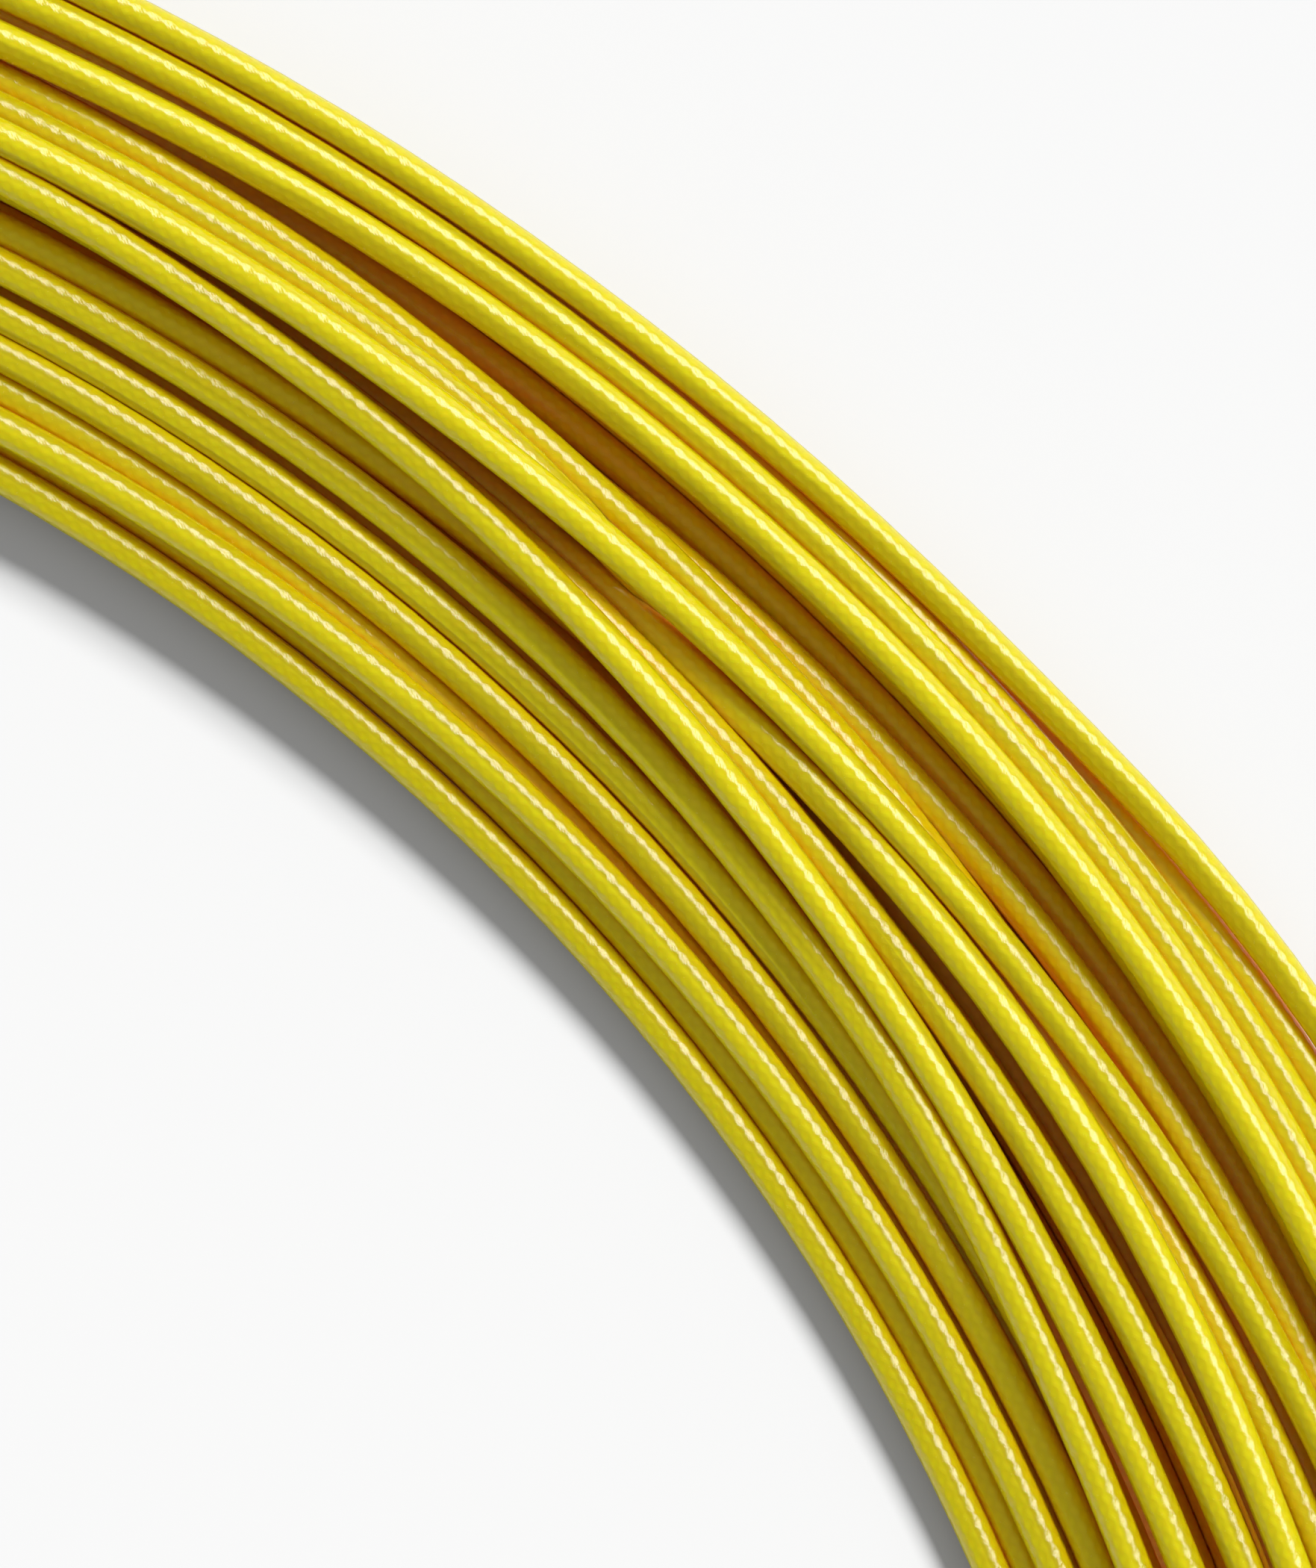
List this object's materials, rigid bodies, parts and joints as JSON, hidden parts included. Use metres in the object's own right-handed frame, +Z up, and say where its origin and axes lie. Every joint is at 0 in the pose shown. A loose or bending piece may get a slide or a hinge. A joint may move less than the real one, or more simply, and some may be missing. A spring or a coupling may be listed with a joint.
{
  "type": "racket string coil",
  "caption": "Round hank of bright yellow coated multifilament racket string, its loops crossing loosely and held by wire twist ties, with both cut ends free.",
  "frame": {"origin": "centre of the coil's box at floor level, on the coil's axis", "axes": "+Z up along the coil's axis, the coil lying flat; the first tie, where both free ends leave, lies at 295 degrees from +X towards +Y, and the second tie opposite it"},
  "size_m": [0.1119, 0.1204, 0.0061],
  "materials": {
    "string": "clear-coated braided nylon, satin",
    "string_core": "cut nylon filaments, matte",
    "tie_ribbon": "soft white plastic ribbon",
    "tie_wire": "soft annealed wire, dull"
  },
  "bodies": {
    "coil": {"string_coil": "string", "lead_tail": "string", "lead_tip_jacket": "string", "lead_tip_core": "string_core", "end_tail": "string", "end_tip_jacket": "string", "end_tip_core": "string_core"},
    "tie_1": {"tie_1_strip": "tie_ribbon", "tie_1_wire": "tie_wire"},
    "tie_2": {"tie_2_strip": "tie_ribbon", "tie_2_wire": "tie_wire"}
  },
  "joints": [
    {"name": "tie_1_slip", "type": "hinge", "parent": "coil", "child": "tie_1", "pos_m": [0, 0, 0], "axis": [0, 0, 1], "range_deg": [-6, 6]},
    {"name": "tie_2_slip", "type": "hinge", "parent": "coil", "child": "tie_2", "pos_m": [0, 0, 0], "axis": [0, 0, 1], "range_deg": [-6, 6]}
  ]
}
